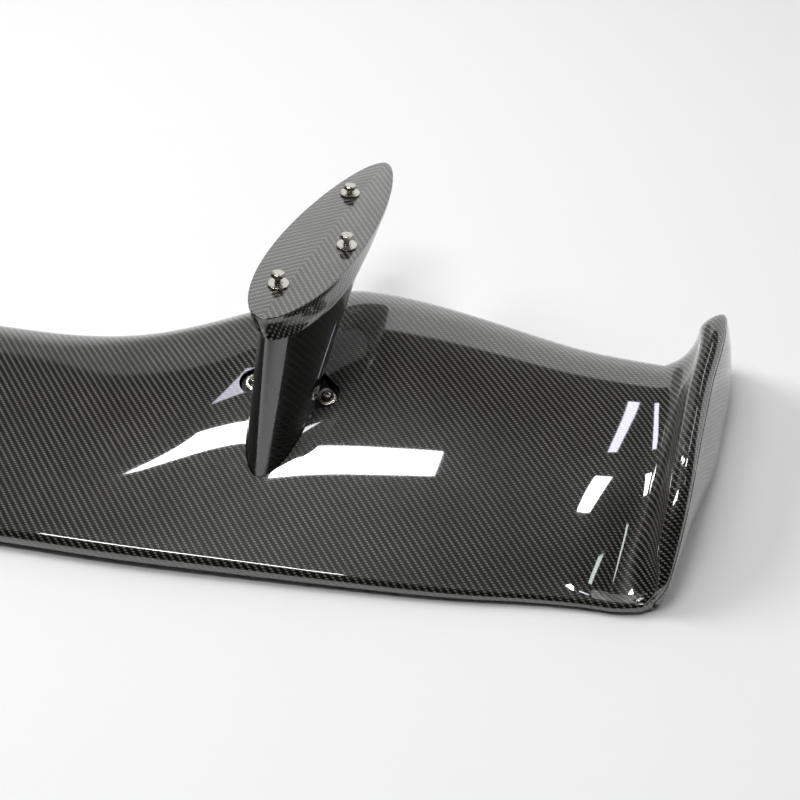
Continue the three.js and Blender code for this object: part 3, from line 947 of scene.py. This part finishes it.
@dataclass(frozen=True)
class Oval:
    """Streamlined outline on a plane, which may taper towards its far end, in mm."""

    across: float
    along: float
    long: float
    wide: float
    taper: float = 0.0
    pointed: float = 1.1

    def point(self, turn: float, height: float, grow: float = 0.0) -> Vector:
        """Place on the outline.

        Args:
            turn: Way round the outline, from 0 to 1.
            height: Height over the plane.
            grow: How far to grow the outline.

        Returns:
            The place on the plane.
        """
        angle = 2 * math.pi * turn
        side = math.copysign(abs(math.sin(angle)) ** self.pointed, math.sin(angle))
        return Vector((
            self.across + (self.wide / 2 + grow) * side * (1 + self.taper * math.cos(angle)),
            self.along - (self.long / 2 + grow) * math.cos(angle),
            height,
        ))

    def towards(self, other: "Oval", share: float) -> "Oval":
        """Outline part of the way to another one.

        Args:
            other: The other outline.
            share: How far to go, from 0 to 1.

        Returns:
            The outline.
        """
        pairs = zip(
            (self.across, self.along, self.long, self.wide, self.taper),
            (other.across, other.along, other.long, other.wide, other.taper),
        )
        return Oval(*(lerp(a, b, share) for a, b in pairs), pointed=self.pointed)


@dataclass(frozen=True)
class LegForm:
    """Sizes of a pedestal leg and its hardware, in mm."""

    ear_plane: Plane = Plane(366.5, 118, 42, 10.3, 4)
    foot_plane: Plane = Plane(384, 239, 154.2, -8.5, 10.7)
    ear_thick: float = 3.5
    base: Oval = Oval(-2.5, 0, 147, 51)
    head: Oval = Oval(7, -48, 186, 60)
    wall: float = 3.0
    foot: Oval = Oval(0, 0, 281, 73.5, 0.18)
    foot_edge: float = 3.0
    foot_deep: float = 18.0
    foot_lip: float = 1.6
    flare: Table = ((3, 0), (8.1, 0.22), (14.4, 0.62), (18, 1))
    ear_bolts: tuple[tuple[str, Place], ...] = (("outer", (32, 27)), ("inner", (-35.5, 27)))
    foot_bolts: tuple[tuple[str, Place, float], ...] = (
        ("near", (-6.5, -92), 6.0), ("middle", (22.5, -14), 6.0), ("far", (-8.6, 70), 3.5),
    )
    eye: float = 13.0
    opening_gap: float = 0.8
    clear: float = 0.35
    pocket_deep: float = 6.0
    pocket_high: float = 40.0


@dataclass(frozen=True)
class Hardware:
    """M6 fasteners, in mm."""

    shank: float = 3.0
    pitch: float = 1.0
    thread: float = 0.55
    length: float = 16.0
    flats: float = 10.0
    head: float = 4.0
    washer_outer: float = 9.0
    washer_inner: float = 3.3
    washer_thick: float = 1.6
    button_head: float = 5.25
    button_high: float = 3.3
    button_length: float = 11.0
    socket_flats: float = 4.0
    socket_deep: float = 1.9
    insert_outer: float = 6.0
    insert_length: float = 13.0
    insert_sunk: float = 0.4
    round_steps: int = 48

    def turned(self, profile: Sequence[Place]) -> BMesh:
        """Makes a closed turning about Z.

        Args:
            profile: Outline of radius and height, which may begin and end on the axis.

        Returns:
            The turning.
        """
        bm = bmesh.new()
        verts = [bm.verts.new((radius, 0, z)) for radius, z in profile]
        edges = [bm.edges.new(pair) for pair in zip(verts, verts[1:])]
        if profile[0][0] > 0:
            edges.append(bm.edges.new((verts[-1], verts[0])))
        bmesh.ops.spin(
            bm, geom=verts + edges, cent=(0, 0, 0), axis=(0, 0, 1), angle=2 * math.pi,
            steps=self.round_steps, use_merge=True,
        )
        bmesh.ops.remove_doubles(bm, verts=bm.verts, dist=1e-4)
        bmesh.ops.recalc_face_normals(bm, faces=bm.faces)
        return bm

    def prism(self, flats: float, low: float, high: float, sides: int = 6) -> BMesh:
        """Makes an upright prism.

        Args:
            flats: Width across its flats.
            low: Height of its lower face.
            high: Height of its upper face.
            sides: Number of flats.

        Returns:
            The prism.
        """
        bm = bmesh.new()
        radius = flats / 2 / math.cos(math.pi / sides)
        bmesh.ops.create_cone(
            bm, cap_ends=True, segments=sides, radius1=radius, radius2=radius, depth=high - low,
            matrix=Matrix.Translation((0, 0, (low + high) / 2)),
        )
        return bm

    def threaded(self, low: float, high: float) -> BMesh:
        """Makes a shank with a helical thread and a chamfered tip.

        Args:
            low: Height of its tip.
            high: Height of its upper end.

        Returns:
            The closed shank.
        """
        turns = 24
        rows = steps(low, high, round((high - low) / self.pitch * 8))
        columns = steps(0, 1, turns)

        def place(z: float, turn: float) -> Vector:
            wave = abs((z / self.pitch - turn) % 1.0 - 0.5) * 2
            radius = self.shank - self.thread * wave
            radius = min(radius, self.shank - 0.9 + 0.8 * (z - low))
            angle = 2 * math.pi * turn
            return Vector((radius * math.cos(angle), radius * math.sin(angle), z))

        bm = surface(rows, columns, place)
        bmesh.ops.remove_doubles(bm, verts=bm.verts, dist=1e-4)
        bmesh.ops.holes_fill(bm, edges=bm.edges, sides=turns + 1)
        bmesh.ops.recalc_face_normals(bm, faces=bm.faces)
        return bm

    def washer(self) -> BMesh:
        """Flat washer, lying a gap above its plane, with the rolled edges of a stamping."""
        low, high, soft = GAP, GAP + self.washer_thick, 0.3
        inner, outer = self.washer_inner, self.washer_outer
        return self.turned([
            (inner, low + soft), (inner + soft, low), (outer - soft, low), (outer, low + soft),
            (outer, high - soft), (outer - soft / 3, high - soft / 3), (outer - soft, high),
            (inner + soft, high), (inner + soft / 3, high - soft / 3), (inner, high - soft),
        ])

    def hex_head(self, low: float) -> bpy.types.Object:
        """Makes a hexagon head with a washer face below and a turned chamfer above.

        Args:
            low: Height of its underside.

        Returns:
            The head.
        """
        high = low + self.head
        corner = self.flats / math.sqrt(3)
        face = self.flats / 2 - 0.3
        limits = self.turned([
            (0, low), (face, low), (face, low + 0.25), (corner + 0.1, low + 0.5),
            (corner + 0.1, high - 0.9), (face, high - 0.15), (face - 0.3, high), (0, high),
        ])
        return cut(as_object(self.prism(self.flats, low - 1, high + 1), "hex"), [limits], "INTERSECT")

    def button(self) -> bpy.types.Object:
        """Button-head bolt with a hexagon socket, seated on its washer."""
        seat = self.washer_thick + 2 * GAP
        tip = seat - self.button_length
        top = seat + self.button_high
        dome = [
            (self.button_head * math.cos(a), seat + 0.5 + (self.button_high - 0.5) * math.sin(a))
            for a in steps(0, math.radians(62), 8)
        ]
        shank = self.shank - 0.1
        outline = [(0, tip), (shank - 0.4, tip), (shank, tip + 0.6), (shank, seat)]
        rim, crown = dome[-1][0] - 0.2, dome[-1][1] + 0.12
        outline += [(self.button_head - 0.2, seat), *dome, (rim, crown), (0, crown)]
        obj = as_object(self.turned(outline), "button")
        return cut(obj, [self.prism(self.socket_flats, top - self.socket_deep - 0.4, top + 2)])


@dataclass
class Leg:
    """One pedestal leg: column with its ears, foot, inserts, washers and bolts."""

    side: Side
    form: LegForm
    hardware: Hardware
    workshop: Workshop

    def column_point(self, share: float, turn: float, grow: float) -> Vector:
        """Place on the column.

        Args:
            share: From 0 at the ears to 1 at the foot.
            turn: Way round the outline, from 0 to 1.
            grow: How far to grow the outline.

        Returns:
            The place in the design.
        """
        form = self.form
        low = form.ear_plane.matrix @ form.base.point(turn, -form.ear_thick, grow)
        high = form.foot_plane.matrix @ form.head.point(turn, -form.foot_deep - GAP, grow)
        return low.lerp(high, share)

    def _tube(self, grow: float, run_on: float, levels: int, turns: int = 96) -> BMesh:
        """Makes a closed solid of the column's outline.

        Args:
            grow: How far to grow the outline.
            run_on: Share of its length to add at both ends.
            levels: Number of steps up the column.
            turns: Number of steps round it.

        Returns:
            The solid.
        """
        rows = steps(-run_on, 1 + run_on, levels)

        def cloth(places: list[list[Vector]]) -> list[list[Vector]]:
            middle = len(places) // 2
            around = run_lengths(places[middle])
            upward = run_lengths([row[0] for row in places])
            return [[Vector((a, u)) * MM for a in around] for u in upward]

        def place(share: float, turn: float) -> Vector:
            return self.column_point(share, turn, grow)

        bm = surface(rows, steps(0, 1, turns), place, cloth)
        bmesh.ops.remove_doubles(bm, verts=bm.verts, dist=1e-4)
        bmesh.ops.holes_fill(bm, edges=bm.edges, sides=turns + 1)
        bmesh.ops.recalc_face_normals(bm, faces=bm.faces)
        return bm

    def _ear(self, place: Place, grow: float, low: float, high: float) -> BMesh:
        """Makes an ear with its bolt eye, or the prism of its pocket, on the ear plane.

        Args:
            place: Where the ear's bolt goes.
            grow: How far to grow the outline.
            low: Lower face over the ear plane.
            high: Upper face over the ear plane.

        Returns:
            The closed solid.
        """
        across, along = abs(place[0]), place[1]
        radius = self.form.eye + grow
        arc = [
            Vector((across - 2 + radius * math.cos(a), along - 2 + radius * math.sin(a), low))
            for a in steps(math.radians(-75), math.radians(38), 16)
        ]
        outline = [Vector((4, along - 29 - grow, low)), Vector((across - 14, along - 22 - grow, low)), *arc]
        outline += [Vector((across - 11, along + 21 + grow, low)), Vector((4, along + 30 + grow, low))]
        bm = bmesh.new()
        face = bm.faces.new([bm.verts.new(point) for point in outline])
        pulled = bmesh.ops.extrude_face_region(bm, geom=[face])
        moved = [item for item in pulled["geom"] if isinstance(item, bmesh.types.BMVert)]
        bmesh.ops.translate(bm, vec=(0, 0, high - low), verts=moved)
        if place[0] < 0:
            bmesh.ops.scale(bm, vec=(-1, 1, 1), verts=bm.verts)
        bmesh.ops.transform(bm, matrix=self.form.ear_plane.matrix, verts=bm.verts)
        bmesh.ops.recalc_face_normals(bm, faces=bm.faces)
        return bm

    def openings(self) -> list[BMesh]:
        """Solids that cut this leg's openings in the belly skin."""
        form = self.form
        shapes = [self._tube(form.opening_gap, 0.08, 4)]
        shapes += [
            self._ear(place, 2 * form.opening_gap, -form.pocket_deep, form.pocket_high)
            for _, place in form.ear_bolts
        ]
        if self.side is Side.LEFT:
            for bm in shapes:
                bmesh.ops.scale(bm, vec=(-1, 1, 1), verts=bm.verts)
                bmesh.ops.reverse_faces(bm, faces=bm.faces)
        return shapes

    def _rod(self, plane: Plane, radius: float, low: float, high: float, place: Place) -> BMesh:
        """Makes a round cutter that stands on a plane.

        Args:
            plane: The plane.
            radius: Its radius.
            low: Its lower end over the plane.
            high: Its upper end over the plane.
            place: Where it stands on the plane.

        Returns:
            The cutter.
        """
        bm = bmesh.new()
        shift = Matrix.Translation((place[0], place[1], (low + high) / 2))
        bmesh.ops.create_cone(
            bm, cap_ends=True, segments=self.hardware.round_steps, radius1=radius, radius2=radius,
            depth=high - low, matrix=plane.matrix @ shift,
        )
        return bm

    def column(self) -> bpy.types.Object:
        """Makes the hollow column with its two drilled ears."""
        form = self.form
        obj = as_object(self._tube(0, 0, 40), self.side.word + "leg_column_moulding")
        cut(obj, [self._ear(place, 0, -form.ear_thick, 0) for _, place in form.ear_bolts], "UNION")
        cut(obj, [self._tube(-form.wall, 0.02, 4)])
        radius = self.hardware.shank + form.clear
        cut(obj, [
            self._rod(form.ear_plane, radius, -form.ear_thick - 1, 1, place) for _, place in form.ear_bolts
        ])
        # The column wears the twill copy with painted shade, darker than the blade's.
        return self.workshop.hand_over(
            obj, self.side, "leg_twill", "gloss_carbon", "wing", [self.side.word + "leg_column"],
        )

    def foot(self) -> bpy.types.Object:
        """Makes the foot: a thin-edged oval plate that draws in to the head of the column."""
        form = self.form
        head = Oval(
            form.head.across, form.head.along,
            form.head.long + 2 * form.foot_lip, form.head.wide + 2 * form.foot_lip,
        )
        soft = 1.0
        under = [
            (table_at(form.flare, deep), -deep, 0.0)
            for deep in steps(form.foot_deep, form.foot_edge, 14)
        ]
        lip = [
            (0.0, -soft + soft * math.sin(a), soft * (math.cos(a) - 1))
            for a in steps(0, math.pi / 2, 5)
        ]
        turns = 160

        def place(ring: tuple[float, float, float], turn: float) -> Vector:
            share, height, grow = ring
            return form.foot.towards(head, share).point(turn, height, grow)

        bm = surface(under + lip, steps(0, 1, turns), place)
        bmesh.ops.remove_doubles(bm, verts=bm.verts, dist=1e-4)
        bmesh.ops.holes_fill(bm, edges=bm.edges, sides=turns + 1)
        bmesh.ops.recalc_face_normals(bm, faces=bm.faces)
        everything = bm.verts[:] + bm.edges[:] + bm.faces[:]
        bmesh.ops.bisect_plane(bm, geom=everything, dist=1e-4, plane_co=(0, 0, 0), plane_no=(1, 0, 0))
        layer = bm.loops.layers.uv.new("cloth")
        for face in bm.faces:
            for loop in face.loops:
                co = loop.vert.co
                loop[layer].uv = Vector((abs(co.x) - min(0.0, co.z), co.y)) * MM
        bmesh.ops.transform(bm, matrix=form.foot_plane.matrix, verts=bm.verts)
        obj = as_object(bm, self.side.word + "foot_moulding")
        radius = self.hardware.insert_outer + GAP
        cut(obj, [
            self._rod(form.foot_plane, radius, -form.foot_deep - 1, 1, spot)
            for _, spot, _ in form.foot_bolts
        ])
        return self.workshop.hand_over(
            obj, self.side, "foot_twill", "gloss_carbon", "wing", [self.side.word + "foot_cap"],
        )

    def _fastener(
        self, obj: bpy.types.Object, plane: Plane, place: Place, name: str, node: str, body: str,
    ) -> None:
        """Puts a fastener made about Z at a place on a plane and hands it over.

        Args:
            obj: The fastener.
            plane: The plane.
            place: The place on the plane.
            name: Its name, without the side.
            node: Its design node, without the side.
            body: Body that it rides on.
        """
        obj.name = self.side.word + name
        obj.data.transform(plane.matrix @ Matrix.Translation((*place, 0)))
        self.workshop.hand_over(obj, self.side, "stainless", "fastener_steel", body, [self.side.word + node])

    def fasteners(self) -> None:
        """Makes the bolts, washers and inserts of the foot and the ears."""
        form, tools = self.form, self.hardware
        for word, place, backed_out in form.foot_bolts:
            seat = GAP + tools.washer_thick + backed_out
            bolt = tools.hex_head(seat)
            cut(bolt, [tools.threaded(seat - tools.length, seat + 0.5)], "UNION")
            washer = as_object(tools.washer(), "washer")
            insert = as_object(self._insert(), "insert")
            moving = f"{self.side.word}{word}_bolt"
            for obj, name, node, body in (
                (bolt, "hex_bolt_", "foot_bolt_", moving),
                (washer, "plain_washer_", "foot_washer_", "wing"),
                (insert, "bonded_insert_", "foot_insert_", "wing"),
            ):
                self._fastener(obj, form.foot_plane, place, name + word, node + word, body)
        for word, place in form.ear_bolts:
            washer = as_object(tools.washer(), "washer")
            for obj, name, node in (
                (washer, "pocket_washer_", "ear_washer_"), (tools.button(), "button_bolt_", "ear_bolt_"),
            ):
                self._fastener(obj, form.ear_plane, place, name + word, node + word, "wing")

    def _insert(self) -> BMesh:
        """Threaded insert with a chamfered mouth."""
        tools = self.hardware
        high = -tools.insert_sunk
        low = high - tools.insert_length
        bore = tools.shank + self.form.clear
        return tools.turned([
            (bore, low), (tools.insert_outer, low), (tools.insert_outer, high),
            (bore + 0.7, high), (bore, high - 0.7),
        ])


# ---- Studio ---------------------------------------------------------------------------


@dataclass(frozen=True)
class Softbox:
    """Rectangular light: where it stands, its size in metres and how bright its face is.

    It points straight down unless it has a target.
    """

    name: str
    place: tuple[float, float, float]
    size: tuple[float, float]
    radiance: float
    spin: float = 0.0
    colour: str = "ffffff"
    mirrored: bool = True  # whether glossy surfaces show it
    target: tuple[float, float, float] | None = None

    def build(self) -> None:
        """Makes the light."""
        light = bpy.data.lights.new(self.name, "AREA")
        light.shape = "RECTANGLE"
        light.size, light.size_y = self.size
        light.energy = self.radiance * math.pi * self.size[0] * self.size[1]
        light.color = linear(self.colour)[:3]
        obj = bpy.data.objects.new(self.name, light)
        bpy.context.scene.collection.objects.link(obj)
        below = (self.place[0], self.place[1], 0.0)
        aim = Vector(self.target or below) - Vector(self.place)
        turn = aim.to_track_quat("-Z", "Y").to_matrix() @ Matrix.Rotation(math.radians(self.spin), 3, "Z")
        obj.matrix_world = Matrix.Translation(self.place) @ turn.to_4x4()
        obj.visible_glossy = self.mirrored


@dataclass(frozen=True)
class Studio:
    """Pale seamless floor, soft light and the camera."""

    camera_mm: tuple[float, float, float] = (572.926, -557.925, 840.020)
    look: tuple[float, float, float] = (-0.10120, 0.66310, -0.74166)
    up: tuple[float, float, float] = (-0.13998, 0.72858, 0.67051)
    lens: float = 54.06
    wall_slope: float = 1.18  # height of the pale wall's top edge over its distance
    wall_end: float = 0.5  # how far to the left the pale wall goes, over its distance
    wall_strength: float = 1.1
    past_end: float = 0.35  # share of the wall's light to the left of its end
    room_strength: float = 0.03
    softboxes: tuple[Softbox, ...] = (
        Softbox("key_right", (0.235, 0.31, 2.04), (0.47, 0.17), 24.0),
        Softbox("key_left", (-0.385, 0.61, 2.04), (0.43, 0.16), 24.0, spin=-12.0),
        Softbox("edge_strip", (-0.12, -0.4, 2.04), (0.95, 0.13), 30.0),
        Softbox("right_panel", (1.125, 0.17, 2.04), (0.15, 0.25), 24.0, spin=-8.0),
        Softbox("back_panel", (-0.6, 1.18, 2.04), (0.2, 0.35), 5.0, colour="e6e2f6"),
        Softbox("side_strip", (1.115, 0.92, 2.04), (0.07, 0.75), 9.0, colour="ecebfa"),
        Softbox("low_strip", (1.68, -0.25, 2.04), (0.1, 0.15), 6.0, colour="e9f2ee"),
        Softbox("ceiling_fill", (0.0, 0.3, 4.0), (5.0, 5.0), 0.22, mirrored=False),
        Softbox("side_fill", (-5.5, 1.2, 4.2), (3.0, 3.0), 11.0, mirrored=False, target=(0.3, 0.0, 0.0)),
    )

    def camera(self) -> None:
        """Makes the camera."""
        data = bpy.data.cameras.new("camera")
        data.lens = self.lens
        data.sensor_width = 36.0
        data.clip_start = 0.05
        data.clip_end = 60.0
        obj = bpy.data.objects.new("camera", data)
        bpy.context.scene.collection.objects.link(obj)
        back = -Vector(self.look).normalized()
        right = Vector(self.up).cross(back).normalized()
        up = back.cross(right)
        turn = Matrix((right, up, back)).transposed().to_4x4()
        place = Vector(self.camera_mm) + Vector((0, DATUM_Y, 0))
        obj.matrix_world = Matrix.Translation(place * MM) @ turn
        bpy.context.scene.camera = obj

    def floor(self) -> None:
        """Makes the floor, of matt painted board."""
        bm = bmesh.new()
        bmesh.ops.create_grid(bm, x_segments=8, y_segments=8, size=9.0)
        obj = as_object(bm, "floor")
        obj.location.z = -0.0005
        material, tree = new_material("matt_white_painted_board")
        shader = put(tree, "ShaderNodeBsdfPrincipled", {
            "Base Color": linear("f1f1f1"), "Roughness": 0.9, "Specular IOR Level": 0.2,
        })
        put(tree, "ShaderNodeOutputMaterial", {"Surface": shader.outputs["BSDF"]})
        obj.data.materials.append(material)

    def surroundings(self) -> None:
        """Pale wall behind the set, in a room that is dark otherwise."""
        world = bpy.data.worlds.new("studio_walls")
        world.use_nodes = True
        tree = world.node_tree
        tree.nodes.clear()
        direction = put(tree, "ShaderNodeTexCoord").outputs["Generated"]
        apart = put(tree, "ShaderNodeSeparateXYZ", {"Vector": direction})
        top = put(tree, "ShaderNodeMath", {0: apart.outputs["Y"], 1: self.wall_slope}, operation="MULTIPLY")
        below = put(
            tree, "ShaderNodeMath", {0: top.outputs[0], 1: apart.outputs["Z"]}, operation="SUBTRACT",
        )
        wall = put(tree, "ShaderNodeMapRange", {
            0: below.outputs[0], 1: -0.01, 2: 0.01, 3: self.room_strength, 4: self.wall_strength,
        })
        end = put(tree, "ShaderNodeMath", {0: apart.outputs["Y"], 1: self.wall_end}, operation="MULTIPLY")
        past = put(tree, "ShaderNodeMath", {0: end.outputs[0], 1: apart.outputs["X"]}, operation="ADD")
        side = put(tree, "ShaderNodeMapRange", {
            0: past.outputs[0], 1: -0.05, 2: 0.05, 3: self.past_end, 4: 1.0,
        })
        light = put(tree, "ShaderNodeMath", {0: wall.outputs[0], 1: side.outputs[0]}, operation="MULTIPLY")
        shade = put(tree, "ShaderNodeBackground", {"Color": linear("ffffff"), "Strength": light.outputs[0]})
        put(tree, "ShaderNodeOutputWorld", {"Surface": shade.outputs["Background"]})
        bpy.context.scene.world = world

    def build(self) -> None:
        """Makes the whole set."""
        self.camera()
        self.floor()
        self.surroundings()
        for softbox in self.softboxes:
            softbox.build()
        bpy.context.scene.view_settings.view_transform = "Standard"


# ---- The whole wing ---------------------------------------------------------------------


def finishes() -> dict[str, bpy.types.Material]:
    """Every finish of the wing by name."""
    recipes = {
        "twill": TwillCarbon("lacquered_twill_carbon"),
        # The leg's carbon is the same twill with a darker pale colour: painted shade on the column.
        "leg_twill": TwillCarbon("lacquered_twill_carbon_leg", pale="2e2c29"),
        "foot_twill": TwillCarbon("lacquered_twill_carbon_foot"),
        "bare": BareLaminate(),
        "stainless": TurnedMetal("bright_stainless_steel", "d2d1cb", "b9b7ae", 0.2),
        "alloy": TurnedMetal("milled_aluminium", "b9bbbd", "9fa1a3", 0.38, stretch=(0.1, 1.0, 1.0)),
    }
    return {key: recipe.build() for key, recipe in recipes.items()}


def dress_inner_frame(workshop: Workshop) -> None:
    """Dresses the spars, ribs and mounting plates, which keep their design shape."""
    for name in sorted(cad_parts):
        if "spar" in name or "rib" in name:
            workshop.dress_node(name, "bare")
        elif "mount_plate" in name:
            workshop.dress_node(name, "alloy")


def main() -> None:
    """Builds the set and every piece of the wing."""
    logging.basicConfig(level=logging.INFO, format="%(name)s: %(message)s")
    Studio().build()
    workshop = Workshop(finishes())
    legs = [Leg(side, LegForm(), Hardware(), workshop) for side in Side]
    blade = Blade(BladeForm(), workshop)
    blade.belly([shape for leg in legs for shape in leg.openings()])
    blade.top()
    for leg in legs:
        leg.column()
        leg.foot()
        leg.fasteners()
    dress_inner_frame(workshop)


if __name__ == "__main__":
    main()
